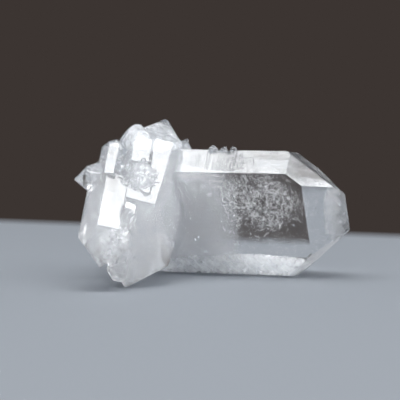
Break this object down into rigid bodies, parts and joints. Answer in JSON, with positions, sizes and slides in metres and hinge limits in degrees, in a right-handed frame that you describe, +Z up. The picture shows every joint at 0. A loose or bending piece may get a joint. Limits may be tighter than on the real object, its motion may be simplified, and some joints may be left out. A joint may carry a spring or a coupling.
{
  "type": "faden quartz crystal",
  "caption": "Clear prismatic quartz crystal lying on its side with a sloping faceted point, grown through a cluster of smaller leaning crystals.",
  "frame": {"origin": "middle of the specimen's box on the surface it rests on", "axes": "+Z up from the resting surface; +X along the length, towards the large crystal's point; -Y is the front, the side that the picture shows"},
  "size_m": [0.0608, 0.0378, 0.0351],
  "materials": {
    "rock_crystal": "clear colourless quartz with a natural vitreous lustre, milky veils and fine fluid-inclusion wisps inside"
  },
  "bodies": {
    "root": {"quartz_cluster": "rock_crystal"}
  },
  "joints": []
}
